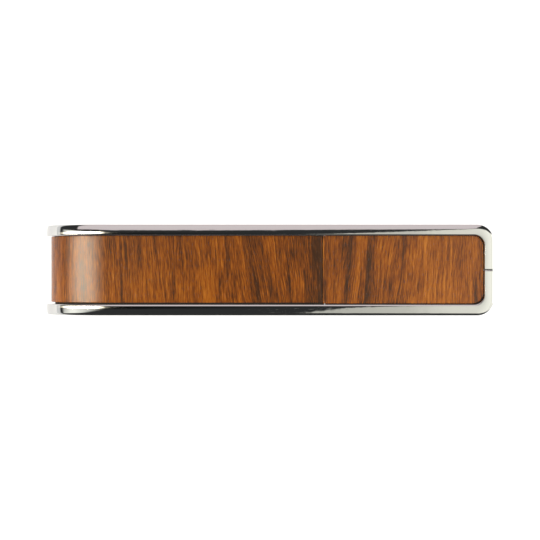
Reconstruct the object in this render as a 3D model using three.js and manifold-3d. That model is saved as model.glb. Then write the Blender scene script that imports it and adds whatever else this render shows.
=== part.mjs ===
// A slim lever money clip. A chromed bar is formed into a long loop and rolled into a U, so that its
// front rails, bend and back rails enclose the notes. A fixed wood-faced panel and a wood-faced lever
// sit between the front rails. The lever turns on a cross pin, carries a leaf that presses the notes
// on the back rails, and snaps over its squared heel against a flat spring.
//
// Millimetres. +X runs to the mouth, +Y across the clip, +Z out of the front face. The clip lies on
// its back rails at z = 0, with the origin under the middle of its length and width.

import * as THREE from 'three';
import { mergeVertices } from 'three/addons/utils/BufferGeometryUtils.js';
import Module from 'manifold-3d';

const wasm = await Module();
wasm.setup();

// Overall size
const LENGTH = 63.5;
const WIDTH = 12.7;
const THICKNESS = 12.7;

// The bar and its loop
const RAIL_WIDTH = 1.5;
const END_WIDTH = 1.25;
const BAR_DEPTH = 2.6;
const BEND_REACH = 9.3;
const OUTER_CORNER = 2.3;
const INNER_CORNER = 1.5;
const SEAM_GAP = 0.04;
const BACK_SHORTER = 0.75;
const CREST_OUTER = { across: 0.4, down: 0.5, steps: 3 };
const CREST_INNER = { across: 0.3, down: 0.28, steps: 2 };
const FOOT_ROUND = { across: 0.25, down: 0.25, steps: 2 };

// The wood and the plates behind it. The plates nearly fill the space between the rails.
const WOOD_INSET = 0.65;
const WOOD_THICKNESS = 0.53;
const GLUE_LINE = 0.02;
const LEVER_PLATE = 0.6;
const PANEL_PLATE = 1.2;
const PANEL_PLATE_SIZE = { width: 9.64, middleY: 0, endGap: 0.03 };
const PANEL_WOOD_SIZE = { width: 9.46, middleY: 0.06, endGap: 0.1 };
const LEVER_PLATE_WIDTH = 9.56;
const LEVER_WOOD_WIDTH = 9.36;
const LEVER_WOOD_Y = 0.11;
const LIP_RUN = 1.2;
const WOOD_LIP_RUN = 1.0;

// The hinge. Heel sizes are distances from the pin's centre. The heel's foot flat lies on the heel
// spring when the lever is shut, and its front flat does when the lever is fully open.
const HINGE = new THREE.Vector2(7.0, 10.9);
const OPEN_ANGLE = THREE.MathUtils.degToRad(75);
const HEEL_WOOD = 0.85;
const HEEL_FLAT = 0.9;
const HEEL_ROUND = 0.35;
const HEEL_BACK = 1.35;
const PANEL_START = 0.93;
const PANEL_COVE = 1.48;

// Cross pins: they end in blind holes in the rails
const PIN_SOCKET = 0.9;
const PIN_END_PLAY = 0.05;
const RUNNING_PLAY = 0.05;
const HINGE_PIN_R = 0.45;
const PANEL_PIN_R = 0.35;
const PANEL_PINS_X = [12, 27];
const STOP_PIN_R = 0.35;
const STOP_PIN = new THREE.Vector2(3.0, 10.65);
const STOP_GROOVE_R = 0.42;

// Leaves and rivets
const HEEL_SPRING = { thickness: 0.3, width: 9.6, freeX: 6.2, riseX: 9, flatX: 14, endX: 24 };
const HEEL_SPRING_PLAY = 0.07;
const LEAF = { thickness: 0.35, width: 7.5, rootX: -20.2, bendX: -15, bellyX: -3.5, tipX: 3 };
const LEAF_BELLY_Z = 2.5;
const LEAF_TIP_Z = 4.6;
const LEAF_HANDLES = { bend: 5, belly: 5.5, tip: 3.2 };
const SEAT_PLAY = 0.03;
const RIVET = { head: 0.9, dome: 0.35, shank: 0.5, hole: 0.55 };
const HEEL_RIVETS = { x: [17.5, 21.5], length: 1.1, holeDepth: 0.9 };
const LEAF_RIVETS = { x: -17.6, y: [-2, 2], length: 0.7, holeDepth: 0.4 };
const OVERCUT = 1;

// Smoothness of the round shapes
const BEND_STEPS = 16;
const CORNER_STEPS = 5;
const PIN_SIDES = 20;
const COVE_SIDES = 48;
const RIVET_SIDES = 16;
const DOME_STEPS = 4;
const CURVE_STEPS = 8;
const LEAF_STEPS = 12;

// Worked out from the sizes above
const MOUTH_X = LENGTH / 2;
const BEND_X = BEND_REACH - LENGTH / 2;
const FRONT_RUN = MOUTH_X - BEND_X;
const HALF = THICKNESS / 2;
const BEND_RUN = Math.PI * Math.sqrt((BEND_REACH ** 2 + HALF ** 2) / 2);
const BACK_RUN = FRONT_RUN - BACK_SHORTER;
const LOOP_RUN = FRONT_RUN + BEND_RUN + BACK_RUN;
const PLATE_DEPTH = WOOD_INSET + WOOD_THICKNESS + GLUE_LINE;
const PLATE_TOP = THICKNESS - PLATE_DEPTH;
const LEVER_UNDER = PLATE_TOP - LEVER_PLATE;
const PANEL_UNDER = PLATE_TOP - PANEL_PLATE;
const PIN_LENGTH = WIDTH - 2 * RAIL_WIDTH + 2 * (PIN_SOCKET - PIN_END_PLAY);
const SOCKET_LENGTH = WIDTH - 2 * RAIL_WIDTH + 2 * PIN_SOCKET;

const chrome = new THREE.MeshStandardMaterial({ color: 0xd6d7d8, roughness: 0.06, metalness: 1 });
const steel = new THREE.MeshStandardMaterial({ color: 0xb4b5b6, roughness: 0.32, metalness: 1 });
const brass = new THREE.MeshStandardMaterial({ color: 0xc9a465, roughness: 0.3, metalness: 1 });
const springSteel = new THREE.MeshStandardMaterial({ color: 0x9da0a5, roughness: 0.22, metalness: 1 });
const leverWood = new THREE.MeshStandardMaterial({ color: 0x7c4620, roughness: 0.38, metalness: 0 });
const panelWood = new THREE.MeshStandardMaterial({ color: 0x8c562e, roughness: 0.38, metalness: 0 });

function toSolid(geometry) {
  const bare = geometry.clone();
  bare.deleteAttribute('normal');
  bare.deleteAttribute('uv');
  const merged = mergeVertices(bare);
  const vertProperties = new Float32Array(merged.attributes.position.array);
  const triVerts = new Uint32Array(merged.index.array);
  return new wasm.Manifold(new wasm.Mesh({ numProp: 3, vertProperties, triVerts }));
}

function toGeometry(solid) {
  const mesh = solid.getMesh();
  const geometry = new THREE.BufferGeometry();
  geometry.setAttribute('position', new THREE.BufferAttribute(mesh.vertProperties, 3));
  geometry.setIndex(new THREE.BufferAttribute(mesh.triVerts, 1));
  geometry.computeVertexNormals();
  return geometry;
}

// The geometry with each of the cutters taken out of it
function cut(geometry, cutters) {
  const solid = cutters.reduce((left, cutter) => left.subtract(toSolid(cutter)), toSolid(geometry));
  return toGeometry(solid);
}

// The point on the U that lies a given run from the mouth and a given depth under the bar's crest,
// and the direction out of the U there
function onProfile(run, depth) {
  const turn = THREE.MathUtils.clamp((run - FRONT_RUN) / BEND_RUN, 0, 1) * Math.PI;
  const out = new THREE.Vector2(-Math.sin(turn) / BEND_REACH, Math.cos(turn) / HALF).normalize();
  const straight = run < FRONT_RUN ? FRONT_RUN - run : Math.max(0, run - FRONT_RUN - BEND_RUN);
  const x = BEND_X + straight - BEND_REACH * Math.sin(turn);
  const z = HALF + HALF * Math.cos(turn);
  return { x: x - out.x * depth, z: z - out.y * depth, out };
}

function bendRuns() {
  return Array.from({ length: BEND_STEPS + 1 }, (_, i) => FRONT_RUN + (BEND_RUN * i) / BEND_STEPS);
}

// One corner of the loop, as pairs of an outer and an inner point (run, y). The run grows from the
// end's outer edge into the loop.
function cornerStations() {
  const stations = [];
  for (let i = 0; i <= CORNER_STEPS; i += 1) {
    const angle = (i / CORNER_STEPS) * (Math.PI / 2);
    const back = 1 - Math.cos(angle);
    const short = 1 - Math.sin(angle);
    stations.push({
      outer: [OUTER_CORNER * back, WIDTH / 2 - OUTER_CORNER * short],
      inner: [END_WIDTH + INNER_CORNER * back, WIDTH / 2 - RAIL_WIDTH - INNER_CORNER * short],
    });
  }
  return stations;
}

// Half of the loop, from the seam along one rail to the middle of the back's cross-piece
function halfLoopStations() {
  const seam = { outer: [0, SEAM_GAP / 2], inner: [END_WIDTH, SEAM_GAP / 2] };
  const front = cornerStations();
  const bend = bendRuns().map((run) => ({
    outer: [run, WIDTH / 2],
    inner: [run, WIDTH / 2 - RAIL_WIDTH],
  }));
  const fromBack = ([run, y]) => [LOOP_RUN - run, y];
  const back = front.map(({ outer, inner }) => ({ outer: fromBack(outer), inner: fromBack(inner) }));
  return [seam, ...front, ...bend, ...back.reverse()];
}

// A path through given stations. Its frames are stretched to the bar's width at each station, so that
// the section narrows where the bar does.
class LoopPath extends THREE.Curve {
  constructor(stations) {
    super();
    this.points = [];
    this.frames = { tangents: [], normals: [], binormals: [] };
    for (const { outer, inner } of stations) {
      const from = onProfile(outer[0], 0);
      const to = onProfile(inner[0], 0);
      const a = new THREE.Vector3(from.x, outer[1], from.z);
      const b = new THREE.Vector3(to.x, inner[1], to.z);
      this.points.push(a.clone().lerp(b, 0.5));
      this.frames.normals.push(b.clone().sub(a).divideScalar(RAIL_WIDTH));
      this.frames.binormals.push(new THREE.Vector3(from.out.x, 0, from.out.y));
    }
  }

  getSpacedPoints() {
    return this.points;
  }

  computeFrenetFrames() {
    return this.frames;
  }
}

// A rounded corner of the bar's section at (x, y), as points from its crest or foot to its side.
// inX and inY are 1 or -1 and point into the section.
function roundedCorner(x, y, inX, inY, { across, down, steps }) {
  return Array.from({ length: steps + 1 }, (_, i) => {
    const angle = (i / steps) * (Math.PI / 2);
    const short = { x: 1 - Math.sin(angle), y: 1 - Math.cos(angle) };
    return new THREE.Vector2(x + inX * across * short.x, y + inY * down * short.y);
  });
}

// The bar's section: crest at y = 0, outer side at -x, inner side at +x
function barSection() {
  const side = RAIL_WIDTH / 2;
  const crestOuter = roundedCorner(-side, 0, 1, -1, CREST_OUTER);
  const crestInner = roundedCorner(side, 0, -1, -1, CREST_INNER);
  const footInner = roundedCorner(side, -BAR_DEPTH, -1, 1, FOOT_ROUND);
  const footOuter = roundedCorner(-side, -BAR_DEPTH, 1, 1, FOOT_ROUND);
  return new THREE.Shape([
    ...footOuter.reverse(),
    ...footInner,
    ...crestInner.reverse(),
    ...crestOuter,
  ]);
}

function crossCylinder(x, z, radius, length) {
  return new THREE.CylinderGeometry(radius, radius, length, PIN_SIDES).translate(x, 0, z);
}

// A shape drawn in x and z, made solid across the clip's width
function acrossClip(shape, width, middleY = 0) {
  const options = { depth: width, bevelEnabled: false, curveSegments: CURVE_STEPS };
  const geometry = new THREE.ExtrudeGeometry(shape, options);
  return geometry.rotateX(Math.PI / 2).translate(0, middleY + width / 2, 0);
}

function frame() {
  const half = halfLoopStations();
  const mirrored = half.map(({ outer, inner }) => ({
    outer: [outer[0], -outer[1]],
    inner: [inner[0], -inner[1]],
  }));
  const stations = [...half, ...mirrored.reverse()];
  const bar = new THREE.ExtrudeGeometry(barSection(), {
    steps: stations.length - 1,
    extrudePath: new LoopPath(stations),
  });
  const sockets = PANEL_PINS_X.map((x) =>
    crossCylinder(x, PLATE_TOP - PANEL_PLATE / 2, PANEL_PIN_R + RUNNING_PLAY, SOCKET_LENGTH),
  );
  sockets.push(crossCylinder(HINGE.x, HINGE.y, HINGE_PIN_R + RUNNING_PLAY, SOCKET_LENGTH));
  sockets.push(crossCylinder(STOP_PIN.x, STOP_PIN.y, STOP_PIN_R + RUNNING_PLAY, SOCKET_LENGTH));
  return cut(bar, sockets);
}

// The outline of a layer of the fixed panel, seen from the front: square at the hinge and round at
// the mouth
function panelOutline({ width, middleY, endGap }) {
  const left = HINGE.x + PANEL_START;
  const right = MOUTH_X - END_WIDTH - endGap;
  const near = middleY - width / 2;
  const far = middleY + width / 2;
  const shape = new THREE.Shape();
  shape.moveTo(left, near);
  shape.lineTo(right - INNER_CORNER, near);
  shape.absarc(right - INNER_CORNER, near + INNER_CORNER, INNER_CORNER, -Math.PI / 2, 0);
  shape.absarc(right - INNER_CORNER, far - INNER_CORNER, INNER_CORNER, 0, Math.PI / 2);
  shape.lineTo(left, far);
  return shape;
}

// A layer of the fixed panel, coved round the hinge so that the heel's corner passes it
function panelLayer(size, bottom, thickness, cutters = []) {
  const options = { depth: thickness, bevelEnabled: false, curveSegments: CURVE_STEPS };
  const layer = new THREE.ExtrudeGeometry(panelOutline(size), options).translate(0, 0, bottom);
  const cove = new THREE.CylinderGeometry(PANEL_COVE, PANEL_COVE, WIDTH, COVE_SIDES);
  return cut(layer, [cove.translate(HINGE.x, 0, HINGE.y), ...cutters]);
}

function rivetHole(x, y, bottom, top) {
  const hole = new THREE.CylinderGeometry(RIVET.hole, RIVET.hole, top - bottom, RIVET_SIDES);
  return hole.rotateX(Math.PI / 2).translate(x, y, (top + bottom) / 2);
}

function frontPanel() {
  const pinHoles = PANEL_PINS_X.map((x) =>
    crossCylinder(x, PLATE_TOP - PANEL_PLATE / 2, PANEL_PIN_R + RUNNING_PLAY, WIDTH),
  );
  const holeTop = PANEL_UNDER + HEEL_RIVETS.holeDepth;
  const rivetHoles = HEEL_RIVETS.x.map((x) => rivetHole(x, 0, PANEL_UNDER - OVERCUT, holeTop));
  return panelLayer(PANEL_PLATE_SIZE, PANEL_UNDER, PANEL_PLATE, [...pinHoles, ...rivetHoles]);
}

function frontInlay() {
  return panelLayer(PANEL_WOOD_SIZE, PLATE_TOP + GLUE_LINE, WOOD_THICKNESS);
}

// Points along the lever's curve from the straight front, round the bend and onto the back
function leverCurve(depth, lipRun) {
  const runs = [...bendRuns(), FRONT_RUN + BEND_RUN + lipRun];
  return runs.map((run) => {
    const { x, z } = onProfile(run, depth);
    return new THREE.Vector2(x, z);
  });
}

// Where the heel's front flat is at a given height above the pin's centre
function heelFrontX(height) {
  return HINGE.x + (HEEL_FLAT + height * Math.cos(OPEN_ANGLE)) / Math.sin(OPEN_ANGLE);
}

function leverPlate() {
  const heelFoot = HINGE.y - HEEL_FLAT;
  const heelBack = HINGE.x - HEEL_BACK;
  const roundHeight = HEEL_ROUND - HEEL_FLAT;
  const roundX = heelFrontX(roundHeight) - HEEL_ROUND / Math.sin(OPEN_ANGLE);
  const shape = new THREE.Shape();
  shape.moveTo(heelFrontX(PLATE_TOP - HINGE.y), PLATE_TOP);
  leverCurve(PLATE_DEPTH, LIP_RUN).forEach(({ x, y }) => shape.lineTo(x, y));
  leverCurve(PLATE_DEPTH + LEVER_PLATE, LIP_RUN)
    .reverse()
    .forEach(({ x, y }) => shape.lineTo(x, y));
  shape.lineTo(heelBack, LEVER_UNDER);
  shape.quadraticCurveTo(heelBack + HEEL_ROUND, heelFoot, HINGE.x - HEEL_ROUND, heelFoot);
  shape.lineTo(roundX, heelFoot);
  shape.absarc(roundX, heelFoot + HEEL_ROUND, HEEL_ROUND, -Math.PI / 2, OPEN_ANGLE - Math.PI / 2);
  const holeTop = LEVER_UNDER + LEAF_RIVETS.holeDepth;
  const holes = LEAF_RIVETS.y.map((y) => rivetHole(LEAF_RIVETS.x, y, LEVER_UNDER - OVERCUT, holeTop));
  return cut(acrossClip(shape, LEVER_PLATE_WIDTH), [
    crossCylinder(HINGE.x, HINGE.y, HINGE_PIN_R + RUNNING_PLAY, WIDTH),
    crossCylinder(STOP_PIN.x, STOP_PIN.y, STOP_GROOVE_R, WIDTH),
    ...holes,
  ]);
}

function leverInlay() {
  const shape = new THREE.Shape();
  shape.moveTo(HINGE.x + HEEL_WOOD, THICKNESS - WOOD_INSET);
  leverCurve(WOOD_INSET, WOOD_LIP_RUN).forEach(({ x, y }) => shape.lineTo(x, y));
  leverCurve(WOOD_INSET + WOOD_THICKNESS, WOOD_LIP_RUN)
    .reverse()
    .forEach(({ x, y }) => shape.lineTo(x, y));
  shape.lineTo(HINGE.x + HEEL_WOOD, THICKNESS - WOOD_INSET - WOOD_THICKNESS);
  return acrossClip(shape, LEVER_WOOD_WIDTH, LEVER_WOOD_Y);
}

// A strip of even thickness along a curve drawn in x and z
function stripShape(points, thickness) {
  const sideOf = (sign) =>
    points.map((point, i) => {
      const before = points[Math.max(i - 1, 0)];
      const after = points[Math.min(i + 1, points.length - 1)];
      const along = after.clone().sub(before).normalize();
      const offset = (sign * thickness) / 2;
      return new THREE.Vector2(point.x - along.y * offset, point.y + along.x * offset);
    });
  return new THREE.Shape([...sideOf(-1), ...sideOf(1).reverse()]);
}

function clampLeaf() {
  const rootZ = LEVER_UNDER - SEAT_PLAY - LEAF.thickness / 2;
  const root = new THREE.Vector2(LEAF.rootX, rootZ);
  const bend = new THREE.Vector2(LEAF.bendX, rootZ);
  const belly = new THREE.Vector2(LEAF.bellyX, LEAF_BELLY_Z);
  const tip = new THREE.Vector2(LEAF.tipX, LEAF_TIP_Z);
  const path = new THREE.CurvePath();
  path.add(new THREE.LineCurve(root, bend));
  path.add(
    new THREE.CubicBezierCurve(
      bend,
      new THREE.Vector2(LEAF.bendX + LEAF_HANDLES.bend, rootZ),
      new THREE.Vector2(LEAF.bellyX - LEAF_HANDLES.belly, LEAF_BELLY_Z),
      belly,
    ),
  );
  const tipHandle = new THREE.Vector2(LEAF.bellyX + LEAF_HANDLES.tip, LEAF_BELLY_Z);
  path.add(new THREE.QuadraticBezierCurve(belly, tipHandle, tip));
  const strip = acrossClip(stripShape(path.getPoints(LEAF_STEPS), LEAF.thickness), LEAF.width);
  const holes = LEAF_RIVETS.y.map((y) => rivetHole(LEAF_RIVETS.x, y, rootZ - OVERCUT, rootZ + OVERCUT));
  return cut(strip, holes);
}

function heelSpring() {
  const freeZ = HINGE.y - HEEL_FLAT - HEEL_SPRING_PLAY - HEEL_SPRING.thickness / 2;
  const fixedZ = PANEL_UNDER - SEAT_PLAY - HEEL_SPRING.thickness / 2;
  const corners = [
    [HEEL_SPRING.freeX, freeZ],
    [HEEL_SPRING.riseX, freeZ],
    [HEEL_SPRING.flatX, fixedZ],
    [HEEL_SPRING.endX, fixedZ],
  ].map(([x, z]) => new THREE.Vector2(x, z));
  const strip = acrossClip(stripShape(corners, HEEL_SPRING.thickness), HEEL_SPRING.width);
  const holes = HEEL_RIVETS.x.map((x) => rivetHole(x, 0, fixedZ - OVERCUT, fixedZ + OVERCUT));
  return cut(strip, holes);
}

// A rivet standing head down: the head's flat side is at z = 0 and the shank goes up
function rivet(shankLength) {
  const profile = [];
  for (let i = 0; i <= DOME_STEPS; i += 1) {
    const angle = (i / DOME_STEPS) * (Math.PI / 2);
    profile.push(new THREE.Vector2(RIVET.head * Math.sin(angle), -RIVET.dome * Math.cos(angle)));
  }
  profile.push(new THREE.Vector2(RIVET.shank, 0));
  profile.push(new THREE.Vector2(RIVET.shank, shankLength));
  profile.push(new THREE.Vector2(0, shankLength));
  return new THREE.LatheGeometry(profile, RIVET_SIDES).rotateX(Math.PI / 2);
}

function crossPin(radius) {
  return new THREE.CylinderGeometry(radius, radius, PIN_LENGTH, PIN_SIDES);
}

function place(name, geometry, material, x = 0, y = 0, z = 0) {
  const mesh = new THREE.Mesh(geometry, material);
  mesh.name = name;
  mesh.position.set(x, y, z);
  return mesh;
}

function fixedParts() {
  const group = new THREE.Group();
  group.add(place('frame', frame(), chrome));
  group.add(place('front_panel', frontPanel(), steel));
  group.add(place('front_inlay', frontInlay(), panelWood));
  group.add(place('hinge_pin', crossPin(HINGE_PIN_R), steel, HINGE.x, 0, HINGE.y));
  group.add(place('stop_pin', crossPin(STOP_PIN_R), steel, STOP_PIN.x, 0, STOP_PIN.y));
  PANEL_PINS_X.forEach((x, i) => {
    group.add(place(`panel_pin_${i + 1}`, crossPin(PANEL_PIN_R), steel, x, 0, PLATE_TOP - PANEL_PLATE / 2));
  });
  group.add(place('heel_spring', heelSpring(), springSteel));
  const seat = PANEL_UNDER - 2 * SEAT_PLAY - HEEL_SPRING.thickness;
  HEEL_RIVETS.x.forEach((x, i) => {
    group.add(place(`heel_spring_rivet_${i + 1}`, rivet(HEEL_RIVETS.length), brass, x, 0, seat));
  });
  return group;
}

function leverParts() {
  const group = new THREE.Group();
  group.add(place('lever_plate', leverPlate(), steel));
  group.add(place('lever_inlay', leverInlay(), leverWood));
  group.add(place('clamp_leaf', clampLeaf(), springSteel));
  const seat = LEVER_UNDER - 2 * SEAT_PLAY - LEAF.thickness;
  LEAF_RIVETS.y.forEach((y, i) => {
    group.add(place(`clamp_rivet_${i + 1}`, rivet(LEAF_RIVETS.length), brass, LEAF_RIVETS.x, y, seat));
  });
  return group;
}

const clip = new THREE.Group();
clip.add(fixedParts());
clip.add(leverParts());

export default clip;
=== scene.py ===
"""Looks for the lever money clip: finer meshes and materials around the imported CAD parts.

Metres, in the CAD's frame: +X runs to the mouth, +Y across the clip, +Z out of the wood-faced front.
"""

import math
from collections import namedtuple

import bmesh
import bpy
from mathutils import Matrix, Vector

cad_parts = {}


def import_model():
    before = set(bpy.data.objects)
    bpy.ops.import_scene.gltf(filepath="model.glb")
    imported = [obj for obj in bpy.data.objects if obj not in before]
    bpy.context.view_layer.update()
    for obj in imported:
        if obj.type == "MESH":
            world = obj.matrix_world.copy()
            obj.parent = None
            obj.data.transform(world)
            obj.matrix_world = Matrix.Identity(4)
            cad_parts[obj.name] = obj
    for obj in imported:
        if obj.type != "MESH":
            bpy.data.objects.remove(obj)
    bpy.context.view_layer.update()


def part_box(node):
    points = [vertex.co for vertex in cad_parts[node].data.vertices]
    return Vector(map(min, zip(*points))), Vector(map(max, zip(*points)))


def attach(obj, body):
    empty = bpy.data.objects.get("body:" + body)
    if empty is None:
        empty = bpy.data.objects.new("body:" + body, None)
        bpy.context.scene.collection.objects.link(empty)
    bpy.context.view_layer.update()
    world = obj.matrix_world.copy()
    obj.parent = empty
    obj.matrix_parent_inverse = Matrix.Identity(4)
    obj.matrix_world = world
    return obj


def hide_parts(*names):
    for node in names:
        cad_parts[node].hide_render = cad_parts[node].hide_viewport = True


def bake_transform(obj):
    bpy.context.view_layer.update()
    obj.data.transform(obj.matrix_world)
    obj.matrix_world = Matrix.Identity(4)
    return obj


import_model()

MM = 0.001

# The CAD's driving sizes: the bar
RAIL_WIDTH = 1.5 * MM
END_WIDTH = 1.25 * MM
BAR_DEPTH = 2.6 * MM
BEND_REACH = 9.3 * MM
OUTER_CORNER = 2.3 * MM
INNER_CORNER = 1.5 * MM
BACK_SHORTER = 0.75 * MM
FOOT_ROUND = 0.25 * MM

# The wood and the plates
WOOD_INSET = 0.65 * MM
WOOD_THICKNESS = 0.53 * MM
GLUE_LINE = 0.02 * MM
LEVER_PLATE = 0.6 * MM
LIP_RUN = 1.2 * MM
WOOD_LIP_RUN = 1.0 * MM
PANEL_START = 0.93 * MM
PANEL_COVE = 1.48 * MM

# The lever's heel, hinge and stop
HEEL_WOOD = 0.85 * MM
HEEL_FLAT = 0.9 * MM
HEEL_ROUND = 0.35 * MM
HEEL_BACK = 1.35 * MM
OPEN_ANGLE = math.radians(75)
STOP_GROOVE_R = 0.42 * MM
RUNNING_PLAY = 0.05 * MM

# The springs and their rivets
LEAF_THICKNESS = 0.35 * MM
LEAF_BEND_X = -15 * MM
LEAF_BELLY = (-3.5 * MM, 2.5 * MM)
LEAF_TIP = (3.0 * MM, 4.6 * MM)
LEAF_TIP_ROUND = 1.6 * MM
HEEL_SPRING_THICKNESS = 0.3 * MM
HEEL_SPRING_RISE_X = 9 * MM
HEEL_SPRING_FLAT_X = 14 * MM
RIVET_SHANK_R = 0.5 * MM
RIVET_HEAD_HEIGHT = 0.35 * MM

# Finish of the bar, only on the visual mesh. CREST_TOP is where the crest is highest, from its outer
# side, and CREST_CROWN its curvature in 1/m. Both roundings are quarters of an ellipse: CREST_OUTER is
# a width and a depth, CREST_INNER a width, and CREST_INNER_DEPTH its depth as a share of that width.
CREST_TOP = 1.05 * MM
CREST_TOP_AT_END = 1.25 * MM
CREST_CROWN = 145.0
CREST_OUTER = (0.36 * MM, 0.1 * MM)
CREST_INNER = 0.2 * MM
CREST_INNER_AT_END = 0.003 * MM
CREST_INNER_DEPTH = 0.35
SEAM_GAP = 0.004 * MM
SEAM_ROUND = 0.18 * MM
SEAM_FLARE = 0.1 * MM

# Finish of the other pieces, only on the visual meshes. A strip's ends are eased by a share of its
# thickness, and its long edges are rounded by a share of that.
PLATE_GAP = 0.006 * MM
PLATE_EDGE = 0.05 * MM
WOOD_EDGE = 0.05 * MM
PIN_CHAMFER = 0.08 * MM
STRIP_EDGE_SHARE = 0.25
STRIP_ROUND_SHARE = 0.9
LEAF_ROOT_FLAT = 2 * MM
LEAF_ROOT_HANDLE = 5 * MM
LEAF_BELLY_HANDLES = (5.5 * MM, 3.2 * MM)
HEEL_SPRING_EASE_RUN = 1 * MM
HEEL_SPRING_EASE_RISE = 0.07 * MM
RIVET_POLE_ANGLE = 0.02
RIVET_DOME_SHARE = 0.9
RIVET_RIM_SHARE = 0.98

# How finely the meshes are divided. NEAR_EDGE is where the middle point of a rounded end lies.
SMOOTH_ANGLE = math.radians(35)
NEAR_EDGE = 0.3
RAIL_STEPS = 60
BEND_STEPS = 96
LIP_STEPS = 3
CORNER_STEPS = 24
SEAM_STEPS = 8
CREST_STEPS = 10
CREST_OUTER_STEPS = 14
FOOT_STEPS = 6
SECTION_STEPS = 4
PANEL_CORNER_STEPS = 16
HEEL_STEPS = 8
LEAF_STEPS = 40
LEAF_TIP_STEPS = 30
HEEL_SPRING_STEPS = 6
RIVET_STEPS = 14
BEVEL_SEGMENTS = 3
BORE_SIDES = 48
COVE_SIDES = 96
TURNED_SIDES = 40

frame_low, frame_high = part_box("frame")
MOUTH_X = frame_high.x
HALF_WIDTH = frame_high.y
THICKNESS = frame_high.z
HALF = THICKNESS / 2
BEND_X = frame_low.x + BEND_REACH
FRONT_RUN = MOUTH_X - BEND_X
BEND_RUN = math.pi * math.sqrt((BEND_REACH**2 + HALF**2) / 2)
LOOP_RUN = FRONT_RUN + BEND_RUN + FRONT_RUN - BACK_SHORTER
PLATE_DEPTH = WOOD_INSET + WOOD_THICKNESS + GLUE_LINE
PLATE_TOP = THICKNESS - PLATE_DEPTH
LEVER_UNDER = PLATE_TOP - LEVER_PLATE
PLATE_HALF_WIDTH = HALF_WIDTH - RAIL_WIDTH - PLATE_GAP


def middle(node):
    low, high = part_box(node)
    return (low + high) / 2


HINGE = middle("hinge_pin")


# ---------------------------------------------------------------- geometry


def on_profile(run, depth):
    """The point (x, z) on the U a run from the mouth and a depth under the crest, and the way out."""
    turn = min(max((run - FRONT_RUN) / BEND_RUN, 0), 1) * math.pi
    out = Vector((-math.sin(turn) / BEND_REACH, math.cos(turn) / HALF)).normalized()
    straight = FRONT_RUN - run if run < FRONT_RUN else max(0, run - FRONT_RUN - BEND_RUN)
    x = BEND_X + straight - BEND_REACH * math.sin(turn)
    z = HALF + HALF * math.cos(turn)
    return x - out.x * depth, z - out.y * depth, out


def spaced(start, end, steps):
    return [start + (end - start) * i / steps for i in range(steps + 1)]


def quarter(x, y, to_x, to_y, steps):
    """A rounded corner at (x, y), as points from the side that runs along x to the one along y."""
    points = []
    for angle in spaced(0, math.pi / 2, steps):
        points.append((x + to_x * (1 - math.sin(angle)), y + to_y * (1 - math.cos(angle))))
    return points


def circle(radius, sides):
    points = []
    for i in range(sides):
        angle = 2 * math.pi * i / sides
        points.append((radius * math.cos(angle), radius * math.sin(angle)))
    return points


def bezier(points, steps):
    """Points along a Bezier curve of any order, without its first one."""
    curve = []
    for t in spaced(0, 1, steps)[1:]:
        level = [Vector(p) for p in points]
        while len(level) > 1:
            level = [a.lerp(b, t) for a, b in zip(level, level[1:])]
        curve.append(tuple(level[0]))
    return curve


def skin_rings(name, rings):
    """One closed mesh through equal rings of points, with a cap on each end."""
    count = len(rings[0])
    vertices = [tuple(point) for ring in rings for point in ring]
    faces = []
    for i in range(len(rings) - 1):
        for j in range(count):
            after = (j + 1) % count
            faces.append((i * count + j, i * count + after, (i + 1) * count + after, (i + 1) * count + j))
    faces.append(tuple(range(count))[::-1])
    faces.append(tuple((len(rings) - 1) * count + j for j in range(count)))
    mesh = bpy.data.meshes.new(name)
    mesh.from_pydata(vertices, [], faces)
    work = bmesh.new()
    work.from_mesh(mesh)
    bmesh.ops.recalc_face_normals(work, faces=work.faces)
    work.to_mesh(mesh)
    work.free()
    mesh.polygons.foreach_set("use_smooth", [True] * len(mesh.polygons))
    mesh.set_sharp_from_angle(angle=SMOOTH_ANGLE)
    piece = bpy.data.objects.new(name, mesh)
    bpy.context.scene.collection.objects.link(piece)
    return piece


def bevelled(piece, width):
    modifier = piece.modifiers.new("edge", "BEVEL")
    modifier.width = width
    modifier.segments = BEVEL_SEGMENTS
    modifier.limit_method = "ANGLE"
    modifier.angle_limit = SMOOTH_ANGLE
    modifier.harden_normals = True
    return piece


def flat_faces_kept(piece):
    """Lets the large faces set the shading, so that a small rounded edge doesn't bend it."""
    modifier = piece.modifiers.new("shading", "WEIGHTED_NORMAL")
    modifier.keep_sharp = True
    return piece


def carved(piece, cutter):
    modifier = piece.modifiers.new("cut", "BOOLEAN")
    modifier.operation = "DIFFERENCE"
    modifier.solver = "EXACT"
    modifier.object = cutter
    bpy.context.view_layer.objects.active = piece
    bpy.ops.object.modifier_apply(modifier=modifier.name)
    bpy.data.objects.remove(cutter)
    piece.data.set_sharp_from_angle(angle=SMOOTH_ANGLE)
    return piece


def cross_cylinder(name, x, z, radius, sides):
    """A cutter across the whole clip."""
    rings = []
    for y in (-HALF_WIDTH, HALF_WIDTH):
        rings.append([(x + a, y, z + b) for a, b in circle(radius, sides)])
    return skin_rings(name, rings)


def lathe(name, profile, place, axis):
    """A turned piece. profile is (radius, height) along axis, which is "Y" or "Z"."""
    rings = []
    for radius, height in profile:
        ring = []
        for a, b in circle(radius, TURNED_SIDES):
            offset = Vector((a, height, b)) if axis == "Y" else Vector((a, b, height))
            ring.append(place + offset)
        rings.append(ring)
    return skin_rings(name, rings)


def grain_uv(piece, run_of_vertex):
    """Gives the wood the coordinates it was cut in: millimetres along the band and across it."""
    layer = piece.data.uv_layers.new(name="Grain")
    vertices = piece.data.vertices
    for loop in piece.data.loops:
        v = vertices[loop.vertex_index]
        layer.data[loop.index].uv = (run_of_vertex(v) / MM, v.co.y / MM)


# ---------------------------------------------------------------- the bar


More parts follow.
